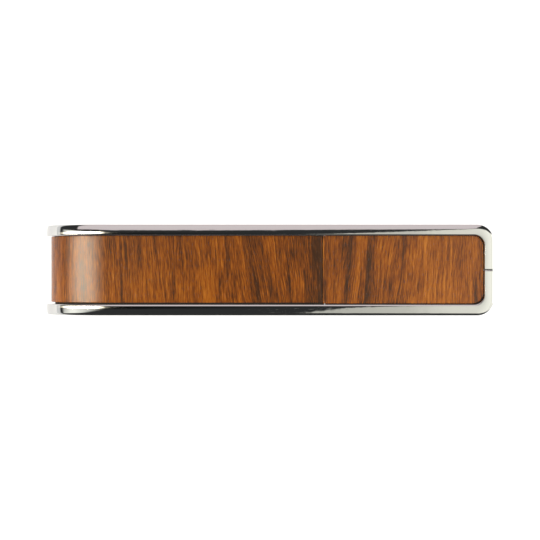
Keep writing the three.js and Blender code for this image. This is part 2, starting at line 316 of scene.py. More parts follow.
# A cut across the bar. outer and inner are its two sides as (run, y), ease is how far its section
# is shrunk, flare how much further its outer side is drawn in, and the rest shape its crest.
Station = namedtuple("Station", "outer inner ease flare crest_top crest_inner")


def corner_stations():
    """Round one corner of the loop, from its end to its rail."""
    stations = []
    for angle in spaced(0, math.pi / 2, CORNER_STEPS):
        back, short = 1 - math.cos(angle), 1 - math.sin(angle)
        outer = (OUTER_CORNER * back, HALF_WIDTH - OUTER_CORNER * short)
        inner = (END_WIDTH + INNER_CORNER * back, HALF_WIDTH - RAIL_WIDTH - INNER_CORNER * short)
        crest_top = CREST_TOP + (CREST_TOP_AT_END - CREST_TOP) * math.cos(angle)
        crest_inner = CREST_INNER + (CREST_INNER_AT_END - CREST_INNER) * math.cos(angle)
        stations.append(Station(outer, inner, 0, 0, crest_top, crest_inner))
    return stations


def seam_stations():
    """From the butt end towards the corner. The edges of the end are eased, the outer one most."""
    stations = []
    for angle in spaced(0, math.pi / 2, SEAM_STEPS):
        ease, away = 1 - math.sin(angle), 1 - math.cos(angle)
        y = SEAM_GAP / 2 + SEAM_ROUND * away
        eased = (SEAM_ROUND * ease, SEAM_FLARE * ease)
        stations.append(Station((0, y), (END_WIDTH, y), *eased, CREST_TOP_AT_END, CREST_INNER_AT_END))
    return stations


def half_loop():
    """From the seam in the front end, along the rail and round the bend, to the back end."""
    corner_run = END_WIDTH + INNER_CORNER
    runs = spaced(corner_run, FRONT_RUN, RAIL_STEPS)[1:]
    runs += spaced(FRONT_RUN, FRONT_RUN + BEND_RUN, BEND_STEPS)[1:]
    runs += spaced(FRONT_RUN + BEND_RUN, LOOP_RUN - corner_run, RAIL_STEPS)[1:-1]
    rails = []
    for run in runs:
        inner = (run, HALF_WIDTH - RAIL_WIDTH)
        rails.append(Station((run, HALF_WIDTH), inner, 0, 0, CREST_TOP, CREST_INNER))
    back = []
    for station in corner_stations()[::-1]:
        outer, inner = ((LOOP_RUN - run, y) for run, y in (station.outer, station.inner))
        back.append(station._replace(outer=outer, inner=inner))
    return seam_stations() + corner_stations() + rails + back


def mirrored(station):
    outer, inner = ((run, -y) for run, y in (station.outer, station.inner))
    return station._replace(outer=outer, inner=inner)


def bar_section(crest_inner):
    """Points (across, down, crowned) round the bar: across is 0 at its outer side and 1 at its inner."""
    crest = quarter(0, 0, *CREST_OUTER, CREST_OUTER_STEPS)[::-1]
    crest += [(x, 0) for x in spaced(CREST_OUTER[0], RAIL_WIDTH - crest_inner, CREST_STEPS)[1:-1]]
    crest += quarter(RAIL_WIDTH, 0, -crest_inner, crest_inner * CREST_INNER_DEPTH, CREST_STEPS)
    foot = quarter(RAIL_WIDTH, BAR_DEPTH, -FOOT_ROUND, -FOOT_ROUND, FOOT_STEPS)[::-1]
    foot += quarter(0, BAR_DEPTH, FOOT_ROUND, -FOOT_ROUND, FOOT_STEPS)
    return [(x / RAIL_WIDTH, y, True) for x, y in crest] + [(x / RAIL_WIDTH, y, False) for x, y in foot]


def crown(x, width, crest_top):
    """How far the crest sinks at x from its outer side: its slope grows evenly from its top line."""
    return CREST_CROWN / 2 * ((x - crest_top) ** 2 - max(crest_top - width, 0) ** 2)


def bar_loop():
    half = half_loop()
    rings = []
    for station in half + [mirrored(s) for s in half[::-1]]:
        outer_x, outer_z, out = on_profile(station.outer[0], 0)
        inner_x, inner_z, _ = on_profile(station.inner[0], 0)
        outer = Vector((outer_x, station.outer[1], outer_z))
        inner = Vector((inner_x, station.inner[1], inner_z))
        width = (inner - outer).length
        inward = Vector((-out.x, 0, -out.y))
        side = station.ease / 2
        kept = (width - station.flare - 2 * side) / width
        ring = []
        for across, down, crowned in bar_section(station.crest_inner):
            share = 1 - side / width - (1 - across) * kept
            sink = station.ease + down * (BAR_DEPTH - 2 * station.ease) / BAR_DEPTH
            if crowned:
                sink += crown(across * width, width, station.crest_top)
            ring.append(outer + (inner - outer) * share + inward * sink)
        rings.append(ring)
    return skin_rings("bar_loop", rings)


# ---------------------------------------------------------------- wood faces


def lever_runs(lip_run):
    """Runs along the lever, from over its heel to the end of its lip."""
    runs = spaced(MOUTH_X - HINGE.x - HEEL_WOOD, FRONT_RUN, RAIL_STEPS)
    runs += spaced(FRONT_RUN, FRONT_RUN + BEND_RUN, BEND_STEPS)[1:]
    runs += spaced(FRONT_RUN + BEND_RUN, FRONT_RUN + BEND_RUN + lip_run, LIP_STEPS)[1:]
    return runs


def rounded_slab_section(half_width, thickness, edge):
    """Points (across, down) round a strip, its top at 0."""
    section = quarter(-half_width, 0, edge, edge, SECTION_STEPS)[::-1]
    section += quarter(half_width, 0, -edge, edge, SECTION_STEPS)
    section += quarter(half_width, thickness, -edge, -edge, SECTION_STEPS)[::-1]
    section += quarter(-half_width, thickness, edge, -edge, SECTION_STEPS)
    return section


def lever_face():
    low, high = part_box("lever_inlay")
    centre_y = (high.y + low.y) / 2
    section = rounded_slab_section((high.y - low.y) / 2, WOOD_THICKNESS, WOOD_EDGE)
    runs = lever_runs(WOOD_LIP_RUN)
    near = WOOD_EDGE * NEAR_EDGE
    end = [(0, WOOD_EDGE), (near, near), (WOOD_EDGE, 0)]
    places = [(runs[0] + along, ease) for along, ease in end]
    places += [(run, 0) for run in runs[1:-1]]
    places += [(runs[-1] - along, ease) for along, ease in end[::-1]]
    rings = []
    run_of_vertex = []
    for run, ease in places:
        ring = []
        for across, down in section:
            sink = ease + down * (WOOD_THICKNESS - 2 * ease) / WOOD_THICKNESS
            x, z, _ = on_profile(run, WOOD_INSET + sink)
            ring.append((x, centre_y + across, z))
        rings.append(ring)
        run_of_vertex += [run] * len(section)
    piece = skin_rings("lever_wood_face", rings)
    grain_uv(piece, lambda v: run_of_vertex[v.index])
    return flat_faces_kept(piece)


def panel_outline(low, high):
    """Seen from above: square at the joint, rounded in the loop's corners."""
    points = [(low.x, low.y)]
    points += quarter(high.x, low.y, -INNER_CORNER, INNER_CORNER, PANEL_CORNER_STEPS)
    points += quarter(high.x, high.y, -INNER_CORNER, -INNER_CORNER, PANEL_CORNER_STEPS)[::-1]
    points.append((low.x, high.y))
    return points


def panel_layer(name, node, half_width, edge):
    """The panel's wood or plate, with the cove that the lever's heel turns in."""
    low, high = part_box(node)
    start = HINGE.x + PANEL_START
    widen = half_width / high.y
    outline = [(max(x, start), y * widen) for x, y in panel_outline(low, high)]
    piece = skin_rings(name, [[(x, y, z) for x, y in outline] for z in (low.z, high.z)])
    carved(piece, cross_cylinder("cove", HINGE.x, HINGE.z, PANEL_COVE, COVE_SIDES))
    return bevelled(piece, edge)


def panel_face():
    piece = panel_layer("panel_wood_face", "front_inlay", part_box("front_inlay")[1].y, WOOD_EDGE)
    grain_uv(piece, lambda v: MOUTH_X - v.co.x)
    return piece


# ---------------------------------------------------------------- metal inside


def heel_front_x(height):
    """The heel's front face at a height over the hinge. It lies level on the spring when open."""
    return HINGE.x + (HEEL_FLAT + height * math.cos(OPEN_ANGLE)) / math.sin(OPEN_ANGLE)


def lever_plate():
    runs = lever_runs(LIP_RUN)[RAIL_STEPS // 2:]
    outline = [(heel_front_x(PLATE_TOP - HINGE.z), PLATE_TOP)]
    outline += [on_profile(run, PLATE_DEPTH)[:2] for run in runs]
    outline += [on_profile(run, PLATE_DEPTH + LEVER_PLATE)[:2] for run in runs[::-1]]
    heel_back, foot = HINGE.x - HEEL_BACK, HINGE.z - HEEL_FLAT
    for t in spaced(0, 1, HEEL_STEPS):
        control_x = heel_back + HEEL_ROUND
        end_x = HINGE.x - HEEL_ROUND
        x = (1 - t) ** 2 * heel_back + 2 * t * (1 - t) * control_x + t * t * end_x
        z = (1 - t) ** 2 * LEVER_UNDER + (1 - (1 - t) ** 2) * foot
        outline.append((x, z))
    round_x = heel_front_x(HEEL_ROUND - HEEL_FLAT) - HEEL_ROUND / math.sin(OPEN_ANGLE)
    for angle in spaced(-math.pi / 2, OPEN_ANGLE - math.pi / 2, HEEL_STEPS):
        x = round_x + HEEL_ROUND * math.cos(angle)
        outline.append((x, foot + HEEL_ROUND * (1 + math.sin(angle))))
    sides = (-PLATE_HALF_WIDTH, PLATE_HALF_WIDTH)
    piece = skin_rings("lever_plate_fine", [[(x, y, z) for x, z in outline] for y in sides])
    stop = middle("stop_pin")
    carved(piece, cross_cylinder("groove", stop.x, stop.z, STOP_GROOVE_R, BORE_SIDES))
    bore_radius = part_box("hinge_pin")[1].x - HINGE.x + RUNNING_PLAY
    carved(piece, cross_cylinder("bore", HINGE.x, HINGE.z, bore_radius, BORE_SIDES))
    return bevelled(piece, PLATE_EDGE)


def eased_ends(path, edge):
    """Adds points close to both ends of a path, where the strip's end edges are rounded."""
    first, second = Vector(path[0]), Vector(path[1])
    last, before = Vector(path[-1]), Vector(path[-2])
    start = [tuple(first + (second - first).normalized() * edge * s) for s in (0, NEAR_EDGE, 1)]
    end = [tuple(last + (before - last).normalized() * edge * s) for s in (1, NEAR_EDGE, 0)]
    return start + list(path[1:-1]) + end


def strip(name, path, thickness, low_y, high_y, tip_round):
    """A strip of even thickness along a path (x, z). tip_round rounds the corners of its last end."""
    edge = thickness * STRIP_EDGE_SHARE
    centres = eased_ends(path, edge)
    half_width, centre_y = (high_y - low_y) / 2, (high_y + low_y) / 2
    lengths = [0]
    for a, b in zip(centres, centres[1:]):
        lengths.append(lengths[-1] + math.dist(a, b))
    rings = []
    for i, (x, z) in enumerate(centres):
        before, after = centres[max(i - 1, 0)], centres[min(i + 1, len(centres) - 1)]
        along = Vector((after[0] - before[0], after[1] - before[1])).normalized()
        to_end = lengths[-1] - lengths[i]
        short = max(tip_round - to_end, 0)
        narrower = tip_round - math.sqrt(max(tip_round**2 - short**2, 0))
        to_near = min(to_end, lengths[i])
        ease = edge - math.sqrt(max(edge**2 - max(edge - to_near, 0) ** 2, 0))
        size = (half_width - narrower - ease, thickness - 2 * ease)
        ring = []
        for across, down in rounded_slab_section(*size, edge * STRIP_ROUND_SHARE):
            offset = thickness / 2 - ease - down
            ring.append((x - along.y * offset, centre_y + across, z + along.x * offset))
        rings.append(ring)
    return flat_faces_kept(skin_rings(name, rings))


def clamp_leaf():
    low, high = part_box("clamp_leaf")
    root_z = high.z - LEAF_THICKNESS / 2
    bend = (LEAF_BEND_X, root_z)
    belly_x, belly_z = LEAF_BELLY
    into_belly, out_of_belly = LEAF_BELLY_HANDLES
    path = [(low.x, root_z), (LEAF_BEND_X - LEAF_ROOT_FLAT, root_z), bend]
    root_handle = (LEAF_BEND_X + LEAF_ROOT_HANDLE, root_z)
    path += bezier([bend, root_handle, (belly_x - into_belly, belly_z), LEAF_BELLY], LEAF_STEPS)
    path += bezier([LEAF_BELLY, (belly_x + out_of_belly, belly_z), LEAF_TIP], LEAF_TIP_STEPS)
    return strip("clamp_leaf_fine", path, LEAF_THICKNESS, low.y, high.y, LEAF_TIP_ROUND)


def heel_spring():
    low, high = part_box("heel_spring")
    free_z = low.z + HEEL_SPRING_THICKNESS / 2
    fixed_z = high.z - HEEL_SPRING_THICKNESS / 2
    rise, flat, ease = HEEL_SPRING_RISE_X, HEEL_SPRING_FLAT_X, HEEL_SPRING_EASE_RUN
    from_flat = [(flat + ease, fixed_z), (flat, fixed_z), (flat - ease, fixed_z - HEEL_SPRING_EASE_RISE)]
    to_free = [(rise + ease, free_z + HEEL_SPRING_EASE_RISE), (rise, free_z), (rise - ease, free_z)]
    path = [(high.x, fixed_z), from_flat[0]]
    path += bezier(from_flat, HEEL_SPRING_STEPS)
    path += bezier(to_free, HEEL_SPRING_STEPS)
    path.append((low.x, free_z))
    sides = (-PLATE_HALF_WIDTH, PLATE_HALF_WIDTH)
    return strip("heel_spring_fine", path, HEEL_SPRING_THICKNESS, *sides, 0)


def rivet(node):
    low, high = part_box(node)
    centre = Vector(((low.x + high.x) / 2, (low.y + high.y) / 2, low.z))
    head_r = (high.x - low.x) / 2
    dome = RIVET_HEAD_HEIGHT * RIVET_DOME_SHARE
    profile = []
    for angle in spaced(RIVET_POLE_ANGLE, math.pi / 2, RIVET_STEPS):
        profile.append((head_r * math.sin(angle), dome * (1 - math.cos(angle))))
    profile.append((head_r * RIVET_RIM_SHARE, RIVET_HEAD_HEIGHT))
    profile.append((RIVET_SHANK_R, RIVET_HEAD_HEIGHT))
    profile.append((RIVET_SHANK_R, high.z - low.z))
    return lathe(node + "_fine", profile, centre, "Z")


def pin(node):
    low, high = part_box(node)
    radius, half_length = (high.z - low.z) / 2, (high.y - low.y) / 2
    profile = [
        (radius - PIN_CHAMFER, -half_length),
        (radius, PIN_CHAMFER - half_length),
        (radius, half_length - PIN_CHAMFER),
        (radius - PIN_CHAMFER, half_length),
    ]
    return lathe(node + "_fine", profile, middle(node), "Y")


# ---------------------------------------------------------------- node trees


class Nodes:
    """Short names for building a node tree."""

    def __init__(self, tree):
        self.tree = tree
        tree.nodes.clear()

    def add(self, kind, **settings):
        node = self.tree.nodes.new(kind)
        for key, value in settings.items():
            setattr(node, key, value)
        return node

    def put(self, socket, value):
        if isinstance(value, bpy.types.NodeSocket):
            self.tree.links.new(value, socket)
        elif value is not None:
            socket.default_value = value

    def math(self, operation, a, b=None, c=None):
        node = self.add("ShaderNodeMath", operation=operation)
        for socket, value in zip(node.inputs, (a, b, c)):
            self.put(socket, value)
        return node.outputs[0]

    def step(self, value, low, high, to_low=0.0, to_high=1.0):
        """Rises smoothly from to_low, where value is low, to to_high, where it is high."""
        node = self.add("ShaderNodeMapRange", interpolation_type="SMOOTHSTEP")
        self.put(node.inputs["Value"], value)
        limits = {"From Min": low, "From Max": high, "To Min": to_low, "To Max": to_high}
        for name, limit in limits.items():
            self.put(node.inputs[name], limit)
        return node.outputs["Result"]

    def vector(self, x, y, z):
        node = self.add("ShaderNodeCombineXYZ")
        for socket, value in zip(node.inputs, (x, y, z)):
            self.put(socket, value)
        return node.outputs[0]

    def split(self, vector):
        node = self.add("ShaderNodeSeparateXYZ")
        self.put(node.inputs[0], vector)
        return node.outputs

    def noise(self, vector, detail, roughness, scale=1.0):
        node = self.add("ShaderNodeTexNoise")
        self.put(node.inputs["Vector"], vector)
        node.inputs["Scale"].default_value = scale
        node.inputs["Detail"].default_value = detail
        node.inputs["Roughness"].default_value = roughness
        return node.outputs["Fac"]

    def mix(self, factor, a, b, blend="MIX"):
        """Mixes two colours, each a socket or red, green and blue."""
        node = self.add("ShaderNodeMix", data_type="RGBA", blend_type=blend)
        self.put(node.inputs["Factor"], factor)
        for name, value in (("A", a), ("B", b)):
            socket = [s for s in node.inputs if s.name == name and s.type == "RGBA"][0]
            self.put(socket, (*value, 1) if isinstance(value, tuple) else value)
        return [s for s in node.outputs if s.type == "RGBA"][0]

    def ramp(self, factor, stops):
        node = self.add("ShaderNodeValToRGB")
        elements = node.color_ramp.elements
        elements[0].position, elements[1].position = stops[0][0], stops[-1][0]
        elements[0].color, elements[1].color = (*stops[0][1], 1), (*stops[-1][1], 1)
        for position, colour in stops[1:-1]:
            elements.new(position).color = (*colour, 1)
        self.put(node.inputs[0], factor)
        return node.outputs[0]

    def grey_ramp(self, factor, stops):
        return self.ramp(factor, [(at, (level, level, level)) for at, level in stops])

    def bump(self, height, distance, normal=None):
        node = self.add("ShaderNodeBump")
        self.put(node.inputs["Height"], height)
        node.inputs["Distance"].default_value = distance
        node.inputs["Strength"].default_value = 1.0
        self.put(node.inputs["Normal"], normal)
        return node.outputs[0]

    def object_position(self):
        """Position on the object, in millimetres."""
        scaled = self.add("ShaderNodeVectorMath", operation="SCALE")
        self.put(scaled.inputs[0], self.add("ShaderNodeTexCoord").outputs["Object"])
        scaled.inputs["Scale"].default_value = 1 / MM
        return scaled.outputs[0]

    def stretched(self, position, cells):
        """A position scaled by cells per millimetre along X, Y and Z."""
        node = self.add("ShaderNodeVectorMath", operation="MULTIPLY")
        self.put(node.inputs[0], position)
        node.inputs[1].default_value = cells
        return node.outputs[0]


def principled(name, **constants):
    """A new material with its shader. constants are socket names with _ for spaces."""
    material = bpy.data.materials.new(name)
    material.use_nodes = True
    nodes = Nodes(material.node_tree)
    shader = nodes.add("ShaderNodeBsdfPrincipled")
    output = nodes.add("ShaderNodeOutputMaterial")
    nodes.tree.links.new(shader.outputs[0], output.inputs["Surface"])
    for key, value in constants.items():
        shader.inputs[key.replace("_", " ")].default_value = value
    return material, nodes, shader


# ---------------------------------------------------------------- metals


# CELLS are a noise's cells per millimetre, and AT is the range of the noise over which its mark sets in
CHROME_COLOUR = (0.62, 0.62, 0.62, 1)
CHROME_ROUGHNESS = (0.025, 0.06)
HAZE_CELLS = (0.5, 1.3, 1.3)
HAZE_AT = (0.35, 0.75)
HAIRLINE_CELLS = (0.6, 14, 14)
HAIRLINE_AT = (0.62, 0.8)
HAIRLINE_ROUGHNESS = 0.05
HAIRLINE_HEIGHT = 0.0006 * MM
PEEL_CELLS = 0.7
PEEL_HEIGHT = 0.004 * MM


def chrome_material():
    material, nodes, shader = principled("polished_chrome", Metallic=1.0, Base_Color=CHROME_COLOUR)
    place = nodes.object_position()
    haze = nodes.noise(nodes.stretched(place, HAZE_CELLS), detail=4.0, roughness=0.55)
    hairlines = nodes.noise(nodes.stretched(place, HAIRLINE_CELLS), detail=2.0, roughness=0.5)
    scratch = nodes.step(hairlines, *HAIRLINE_AT)
    polish = nodes.step(haze, *HAZE_AT, *CHROME_ROUGHNESS)
    rough = nodes.math("ADD", polish, nodes.math("MULTIPLY", scratch, HAIRLINE_ROUGHNESS))
    nodes.put(shader.inputs["Roughness"], rough)
    peel = nodes.noise(place, detail=2.0, roughness=0.4, scale=PEEL_CELLS)
    surface = nodes.bump(peel, PEEL_HEIGHT)
    nodes.put(shader.inputs["Normal"], nodes.bump(scratch, HAIRLINE_HEIGHT, surface))
    return material


# Painted shade: a dark matte coat on the plates' faces under the wood, which stands in for the shade in
# the gaps beside the wood. The edge is the range over which it sets in.
PAINTED_GAP_SHADE_COLOUR = (0.02, 0.014, 0.01)
PAINTED_GAP_SHADE_ROUGHNESS = 0.75
PAINTED_GAP_SHADE_EDGE = (0.4 * MM, 0.9 * MM)
BRUSH_CELLS = {"X": (0.35, 22, 22), "Y": (22, 0.35, 22), "Z": (9, 9, 9)}
BRUSH_SHADE = 0.8
BRUSH_SHADE_AT = (0.3, 0.7)
BRUSH_ROUGHNESS = (0.75, 1.3)
BRUSH_ROUGHNESS_AT = (0.25, 0.75)
BRUSH_HEIGHT = 0.003 * MM
TARNISH_CELLS = 0.35
TARNISH_AT = (0.45, 0.75)
TARNISH_SHADE = 0.86
TARNISH_COVER = 0.6


def outer_side(nodes):
    """1 on the faces of a plate that look out of the U, under the wood, and 0 on its other faces: the
    mask of the painted gap shade.
    """
    coordinates = nodes.add("ShaderNodeTexCoord")
    x, _, z = nodes.split(coordinates.outputs["Object"])
    out_x, _, out_z = nodes.split(coordinates.outputs["Normal"])
    back = nodes.math("MINIMUM", nodes.math("SUBTRACT", x, BEND_X), 0.0)
    up = nodes.math("SUBTRACT", z, HALF)
    outward = nodes.math("MULTIPLY_ADD", out_z, up, nodes.math("MULTIPLY", out_x, back))
    return nodes.step(outward, *PAINTED_GAP_SHADE_EDGE)


def brushed_material(name, colour, roughness, along, gap_shaded=False):
    """Metal brushed along X or Y, or blasted evenly with "Z".

    One that has painted shade gets a dark matte coat on the side under the wood, which stands in for the
    shade in the gaps beside the wood.
    """
    material, nodes, shader = principled(name)
    place = nodes.object_position()
    brush = nodes.noise(nodes.stretched(place, BRUSH_CELLS[along]), detail=4.0, roughness=0.6)
    cloud = nodes.noise(place, detail=3.0, roughness=0.5, scale=TARNISH_CELLS)
    darker = tuple(c * BRUSH_SHADE for c in colour)
    tarnish = tuple(c * TARNISH_SHADE for c in colour)
    surface_colour = nodes.mix(nodes.step(brush, *BRUSH_SHADE_AT), darker, colour)
    tarnished = nodes.step(cloud, *TARNISH_AT, 0.0, TARNISH_COVER)
    surface_colour = nodes.mix(tarnished, surface_colour, tarnish)
    rough_range = [roughness * share for share in BRUSH_ROUGHNESS]
    rough = nodes.step(brush, *BRUSH_ROUGHNESS_AT, *rough_range)
    # Painted shade: the side under the wood is made dark, matte and not metallic, so that the gaps beside
    # the wood show dark.
    if gap_shaded:
        gap_shade = outer_side(nodes)
        surface_colour = nodes.mix(gap_shade, surface_colour, PAINTED_GAP_SHADE_COLOUR)
        rough = nodes.math("MAXIMUM", rough, nodes.math("MULTIPLY", gap_shade, PAINTED_GAP_SHADE_ROUGHNESS))
        nodes.put(shader.inputs["Metallic"], nodes.math("SUBTRACT", 1.0, gap_shade))
    else:
        shader.inputs["Metallic"].default_value = 1.0
    nodes.put(shader.inputs["Base Color"], surface_colour)
    nodes.put(shader.inputs["Roughness"], rough)
    nodes.put(shader.inputs["Normal"], nodes.bump(brush, BRUSH_HEIGHT))
    return material


# ---------------------------------------------------------------- veneers


# Where the two veneers meet, in millimetres towards the mouth from the hinge
JOINT_FROM_HINGE = 0.88

# The broad stripes of each veneer: (millimetres from the joint away from the mouth, tone).
# A tone is 0 where the wood is darkest and 1 where it is palest.
LEVER_BANDS = [
    (-0.3, 0.12),
    (0.5, 0.1),
    (1.1, 0.14),
    (1.9, 0.34),
    (3.0, 0.42),
    (4.6, 0.44),
    (5.0, 0.24),
    (5.4, 0.46),
    (7.0, 0.52),
    (8.4, 0.36),
    (9.3, 0.34),
    (9.7, 0.14),
    (10.2, 0.4),
    (11.2, 0.54),
    (12.8, 0.46),
    (13.2, 0.28),
    (13.6, 0.44),
    (16.2, 0.64),
    (18.7, 0.46),
    (22.0, 0.5),
    (24.0, 0.58),
    (26.0, 0.48),
    (29.5, 0.48),
    (31.5, 0.52),
    (34.5, 0.54),
    (38.0, 0.56),
    (45.0, 0.58),
    (60.0, 0.5),
]
PANEL_BANDS = [
    (-24.0, 0.56),
    (-19.5, 0.6),
    (-17.0, 0.62),
    (-15.0, 0.72),
    (-13.0, 0.66),
    (-11.3, 0.46),
    (-9.0, 0.57),
    (-8.0, 0.54),
    (-7.3, 0.44),
    (-6.8, 0.22),
    (-6.2, 0.24),
    (-5.8, 0.5),
    (-5.0, 0.64),
    (-4.3, 0.48),
    (-3.9, 0.24),
    (-3.5, 0.26),
    (-3.1, 0.48),
    (-2.0, 0.48),
    (0.3, 0.43),
]

# (Millimetres from the joint, how far a stripe runs along the clip for each millimetre across it)
LEVER_SLANTS = [
    (-0.3, 0.0),
    (2.0, -0.03),
    (5.0, -0.11),
    (9.0, -0.2),
    (12.0, -0.14),
    (15.0, -0.04),
    (60.0, 0.0),
]
PANEL_SLANTS = [
    (-24.0, 0.0),
    (-16.0, 0.03),
    (-9.0, 0.09),
    (-4.0, 0.1),
    (0.3, 0.02),
]
SLANT_LIFT = 0.5

# A noise stretched along the grain: its cells per millimetre along the clip and across it.
# SWAY_REACH is in millimetres. Swings and depths are in tones: how far a layer takes the tone up and
# down, or down. AT is the range of the noise over which a layer sets in.
Grain = namedtuple("Grain", "along across detail roughness seed")
SWAY = Grain(0.3, 0.1, detail=2.0, roughness=0.5, seed=5.0)
SWAY_REACH = 1.1
STREAKS_AT = (0.3, 0.7)
STREAKS = [
    (0.1, Grain(0.7, 0.12, detail=2.0, roughness=0.5, seed=3.0)),
    (0.12, Grain(2.6, 0.07, detail=2.0, roughness=0.5, seed=7.0)),
    (0.2, Grain(6.6, 0.22, detail=2.0, roughness=0.5, seed=29.0)),
]
FIBRE = Grain(13.0, 0.7, detail=2.0, roughness=0.6, seed=11.0)
FIBRE_AT = (0.25, 0.75)
FIBRE_SWING = 0.28
LINES = Grain(5.0, 0.13, detail=2.0, roughness=0.5, seed=23.0)
LINES_AT = (0.6, 0.7)
LINE_DEPTH = 0.22
PORES = Grain(9.0, 1.0, detail=1.0, roughness=0.5, seed=17.0)
PORES_AT = (0.64, 0.72)
PORE_DEPTH = 0.26

# Painted highlight along the panel wood's edge at the joint, laid in as a paler tone: where it sets in,
# in millimetres from the joint
PAINTED_EDGE_HIGHLIGHT = (-0.2, -0.13)

# The colours of evenly spaced tones, from 0 to 1
WOOD_TONES = (
    (0.046, 0.018, 0.005),
    (0.1, 0.031, 0.0045),
    (0.246, 0.063, 0.003),
    (0.38, 0.108, 0.005),
    (0.54, 0.185, 0.014),
)
LACQUER_ROUGHNESS = (0.2, 0.27)
LACQUER_AT = (0.3, 0.7)
PORE_ROUGHNESS = 0.06
FIBRE_RELIEF = 0.8
PORE_RELIEF = 0.2
RELIEF_HEIGHT = 0.006 * MM


def graph(nodes, place, points):
    """The value that straight lines through points (millimetres, value) have at a place."""
    low, high = points[0][0], points[-1][0]
    position = nodes.math("DIVIDE", nodes.math("SUBTRACT", place, low), high - low)
    value = nodes.add("ShaderNodeSeparateColor")
    stops = [((at - low) / (high - low), level) for at, level in points]
    nodes.put(value.inputs[0], nodes.grey_ramp(position, stops))
    return value.outputs[0]


def wood_material(name, bands, slants, ior, edge_highlight):
    """Veneer with its grain across the clip. Its last argument is the tone added along its edge at the
    joint, a painted highlight.
    """
    material, nodes, shader = principled(name, IOR=ior)
    from_mouth, across, _ = nodes.split(nodes.add("ShaderNodeUVMap", uv_map="Grain").outputs[0])
    along = nodes.math("SUBTRACT", from_mouth, (MOUTH_X - HINGE.x) / MM - JOINT_FROM_HINGE)

    def grain(kind, run):
        cell_along = nodes.math("MULTIPLY", run, kind.along)
        cell_across = nodes.math("MULTIPLY", across, kind.across)
        place = nodes.vector(cell_along, cell_across, kind.seed)
        return nodes.noise(place, kind.detail, kind.roughness)

    def less(tone, mask, depth):
        return nodes.math("SUBTRACT", tone, nodes.math("MULTIPLY", mask, depth))

    # A ramp can't hold values below 0, so the slants are lifted in it
    lifted = [(at, SLANT_LIFT + slant) for at, slant in slants]
    slant = nodes.math("SUBTRACT", graph(nodes, along, lifted), SLANT_LIFT)
    slanted = nodes.math("MULTIPLY_ADD", across, slant, along)
    sway = nodes.math("SUBTRACT", grain(SWAY, slanted), 0.5)
    run = nodes.math("MULTIPLY_ADD", sway, SWAY_REACH, slanted)

    tone = graph(nodes, run, bands)
    for swing, kind in STREAKS:
        tone = nodes.math("ADD", tone, nodes.step(grain(kind, run), *STREAKS_AT, -swing, swing))
    fibre = grain(FIBRE, run)
    tone = nodes.math("ADD", tone, nodes.step(fibre, *FIBRE_AT, -FIBRE_SWING, FIBRE_SWING))
    pores = nodes.step(grain(PORES, run), *PORES_AT)
    tone = less(tone, nodes.step(grain(LINES, run), *LINES_AT), LINE_DEPTH)
    tone = less(tone, pores, PORE_DEPTH)
    # Painted highlight: a paler strip along the wood's edge at the joint.
    tone = nodes.math("ADD", tone, nodes.step(along, *PAINTED_EDGE_HIGHLIGHT, 0.0, edge_highlight))
    stops = [(i / (len(WOOD_TONES) - 1), colour) for i, colour in enumerate(WOOD_TONES)]
    nodes.put(shader.inputs["Base Color"], nodes.ramp(tone, stops))

    gloss = nodes.step(fibre, *LACQUER_AT, *LACQUER_ROUGHNESS)
    rough = nodes.math("ADD", gloss, nodes.math("MULTIPLY", pores, PORE_ROUGHNESS))
    nodes.put(shader.inputs["Roughness"], rough)
    relief = less(nodes.math("MULTIPLY", fibre, FIBRE_RELIEF), pores, PORE_RELIEF)
    nodes.put(shader.inputs["Normal"], nodes.bump(relief, RELIEF_HEIGHT))
    return material


# ---------------------------------------------------------------- assembly


CHROME = chrome_material()
# The plates carry the painted gap shade on their faces under the wood.
PLATE_STEEL = brushed_material("plate_steel", (0.56, 0.56, 0.55), roughness=0.3, along="X", gap_shaded=True)
PIN_STEEL = brushed_material("pin_steel", (0.6, 0.6, 0.6), roughness=0.22, along="Y")
SPRING_STEEL = brushed_material("spring_steel", (0.48, 0.49, 0.51), roughness=0.2, along="X")
RIVET_BRASS = brushed_material("rivet_brass", (0.62, 0.44, 0.19), roughness=0.24, along="Z")
LEVER_WOOD = wood_material("lever_veneer", LEVER_BANDS, LEVER_SLANTS, ior=1.43, edge_highlight=0.0)
# The panel's wood carries the painted edge highlight at the joint.
PANEL_WOOD = wood_material("panel_veneer", PANEL_BANDS, PANEL_SLANTS, ior=1.5, edge_highlight=0.35)


def dress(piece, material, node):
    piece.data.materials.clear()
    piece.data.materials.append(material)
    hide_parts(node)
    return piece


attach(dress(bar_loop(), CHROME, "frame"), "body")
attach(dress(panel_face(), PANEL_WOOD, "front_inlay"), "body")
panel_plate = panel_layer("front_panel_fine", "front_panel", PLATE_HALF_WIDTH, PLATE_EDGE)
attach(dress(panel_plate, PLATE_STEEL, "front_panel"), "body")
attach(dress(heel_spring(), SPRING_STEEL, "heel_spring"), "body")
for node in ("hinge_pin", "stop_pin", "panel_pin_1", "panel_pin_2"):
    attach(dress(pin(node), PIN_STEEL, node), "body")
for node in ("heel_spring_rivet_1", "heel_spring_rivet_2"):
    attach(dress(rivet(node), RIVET_BRASS, node), "body")

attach(dress(lever_face(), LEVER_WOOD, "lever_inlay"), "lever")
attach(dress(lever_plate(), PLATE_STEEL, "lever_plate"), "lever")
for node in ("clamp_rivet_1", "clamp_rivet_2"):
    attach(dress(rivet(node), RIVET_BRASS, node), "lever")

leaf = dress(clamp_leaf(), SPRING_STEEL, "clamp_leaf")
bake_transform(leaf)


# ---------------------------------------------------------------- stage, light and camera


FLOOR_SIZE = 6
FLOOR_DROP = 0.02 * MM
FLOOR_COLOUR = (0.3, 0.3, 0.3, 1)
FLOOR_ROUGHNESS = 0.6
FLOOR_GLOW = 0.88

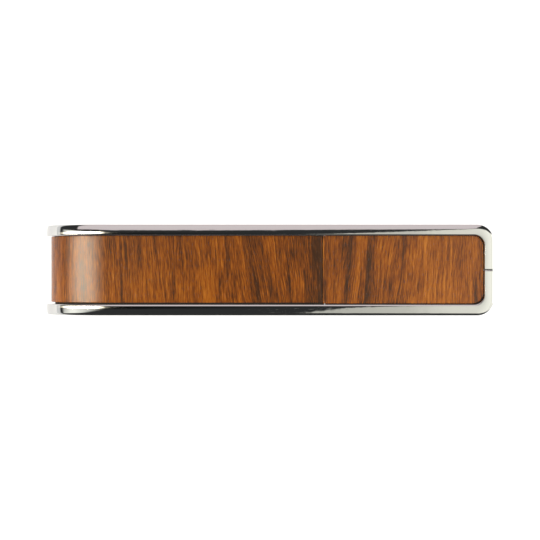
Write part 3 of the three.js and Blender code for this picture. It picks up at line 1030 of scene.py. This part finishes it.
# The studio, which the clip sees by reflection. A card covers the directions (x, y, z) in which
# a*x + b*y + c*z is above 0 for each of its edges (a, b, c, softness).
OVERHEAD_COLOUR = (0.04, 0.042, 0.042)
RIGHT_WALL = [
    (1, -0.6, -0.085, 0.007),
    (1, -0.17, -0.0721, 0.006),
    (0.6, 1, 0.25, 0.02),
    (0.36, -1, 0.093, 0.01),
]
RIGHT_WALL_COLOUR = (1.0, 0.995, 0.88)
FAR_WALL = [
    (-0.25, 1, -0.115, 0.012),
    (-2.1, 1, 0.218, 0.03),
    (0.1, 1, -0.1, 0.012),
    (1, 0, 1.02, 0.04),
]
FAR_WALL_COLOUR = (0.94, 0.84, 0.84)
LEFT_SOFTBOX = [
    (-0.13, -1, -0.012, 0.015),
    (-0.33, 1, 0.02, 0.04),
    (1, 0, 3.3, 0.15),
]
LEFT_SOFTBOX_COLOUR = (1.0, 1.0, 0.91)

# The pale horizon lies below a height z, all round
HORIZON_TOP = (0.2, 0.14)
HORIZON_COLOUR = (0.95, 0.95, 0.93)

# The strip lamp stands within a distance from the plane y = 0, and above a height z
STRIP_LAMP_SIDE = (0.045, 0.03)
STRIP_LAMP_FOOT = (0.0, 0.1)
STRIP_LAMP_COLOUR = (36.0, 32.76, 25.2)

# How bright they are against how far a direction leans: right for the wall, left for the others
RIGHT_WALL_TONES = [
    (0.05, 0.69),
    (0.12, 0.8),
    (0.15, 1.05),
    (0.3, 1.3),
    (0.42, 1.4),
    (0.55, 1.2),
    (0.8, 1.4),
]
LEFT_SOFTBOX_TONES = [
    (0.15, 0.0),
    (0.25, 0.32),
    (0.37, 0.6),
    (0.47, 0.83),
    (0.67, 1.2),
    (0.76, 1.43),
    (0.84, 1.4),
    (0.92, 0.95),
    (0.965, 0.3),
]
STRIP_LAMP_TONES = [
    (0.14, 0.0),
    (0.25, 0.1),
    (0.36, 0.45),
    (0.48, 0.9),
    (0.6, 1.0),
    (0.72, 0.95),
    (0.82, 0.44),
    (0.93, 0.06),
    (1.0, 0.0),
]

LAMP_DIRECTION = (0.9, 0.05, 0.5)
LAMP_DISTANCE = 0.6
LAMP_SIZE = 0.3
LAMP_POWER = 0.25
LAMP_COLOUR = (1.0, 1.0, 0.9)

CAMERA_X = 0.53 * MM
CAMERA_HEIGHT = 160 * MM
CAMERA_LENS = 76.5
CAMERA_SENSOR = 36
CAMERA_CLIP_START = 0.01


def floor():
    bpy.ops.mesh.primitive_plane_add(size=FLOOR_SIZE, location=(0, 0, -FLOOR_DROP))
    plane = bpy.context.object
    plane.name = "floor"
    material, _, shader = principled("pale_floor", Roughness=FLOOR_ROUGHNESS, Base_Color=FLOOR_COLOUR)
    shader.inputs["Emission Color"].default_value = (1, 1, 1, 1)
    shader.inputs["Emission Strength"].default_value = FLOOR_GLOW
    plane.data.materials.append(material)


def world():
    """Dark overhead, with a pale wall on the right and far sides and a softbox with a strip lamp left."""
    tent = bpy.data.worlds.new("studio")
    bpy.context.scene.world = tent
    tent.use_nodes = True
    nodes = Nodes(tent.node_tree)
    x, y, z = nodes.split(nodes.add("ShaderNodeTexCoord").outputs["Generated"])
    leftward = nodes.math("MULTIPLY", x, -1.0)

    def card(edges):
        """1 in the directions that a card covers."""
        mask = 1.0
        for a, b, c, soft in edges:
            total = nodes.math("MULTIPLY_ADD", y, b, nodes.math("MULTIPLY", z, c))
            total = nodes.math("MULTIPLY_ADD", x, a, total)
            mask = nodes.math("MULTIPLY", mask, nodes.step(total, -soft, soft))
        return mask

    def lit(lean, tones, colour):
        return nodes.mix(1.0, nodes.grey_ramp(lean, tones), colour, "MULTIPLY")

    right = lit(x, RIGHT_WALL_TONES, RIGHT_WALL_COLOUR)
    left = lit(leftward, LEFT_SOFTBOX_TONES, LEFT_SOFTBOX_COLOUR)
    colour = nodes.mix(card(RIGHT_WALL), OVERHEAD_COLOUR, right)
    colour = nodes.mix(card(FAR_WALL), colour, FAR_WALL_COLOUR)
    colour = nodes.mix(card(LEFT_SOFTBOX), colour, left)
    colour = nodes.mix(nodes.step(z, *HORIZON_TOP), colour, HORIZON_COLOUR)

    lamp = nodes.step(z, *STRIP_LAMP_FOOT)
    for side in (y, nodes.math("MULTIPLY", y, -1.0)):
        lamp = nodes.math("MULTIPLY", lamp, nodes.step(side, *STRIP_LAMP_SIDE))
    colour = nodes.mix(lamp, colour, lit(leftward, STRIP_LAMP_TONES, STRIP_LAMP_COLOUR), "ADD")
    background = nodes.add("ShaderNodeBackground")
    nodes.put(background.inputs["Color"], colour)
    output = nodes.add("ShaderNodeOutputWorld")
    nodes.tree.links.new(background.outputs[0], output.inputs["Surface"])


def right_lamp():
    data = bpy.data.lights.new("right_softbox", "AREA")
    data.shape = "RECTANGLE"
    data.size = data.size_y = LAMP_SIZE
    data.energy = LAMP_POWER
    data.color = LAMP_COLOUR
    light = bpy.data.objects.new("right_softbox", data)
    bpy.context.scene.collection.objects.link(light)
    towards = Vector(LAMP_DIRECTION).normalized()
    light.location = Vector((0, 0, HALF)) + towards * LAMP_DISTANCE
    light.rotation_euler = towards.to_track_quat("Z", "Y").to_euler()


def camera():
    data = bpy.data.cameras.new("camera")
    data.sensor_width = CAMERA_SENSOR
    data.lens = CAMERA_LENS
    data.clip_start = CAMERA_CLIP_START
    camera_object = bpy.data.objects.new("camera", data)
    bpy.context.scene.collection.objects.link(camera_object)
    camera_object.location = (CAMERA_X, 0, THICKNESS + CAMERA_HEIGHT)
    bpy.context.scene.camera = camera_object


floor()
world()
right_lamp()
camera()
bpy.context.scene.view_settings.view_transform = "Standard"
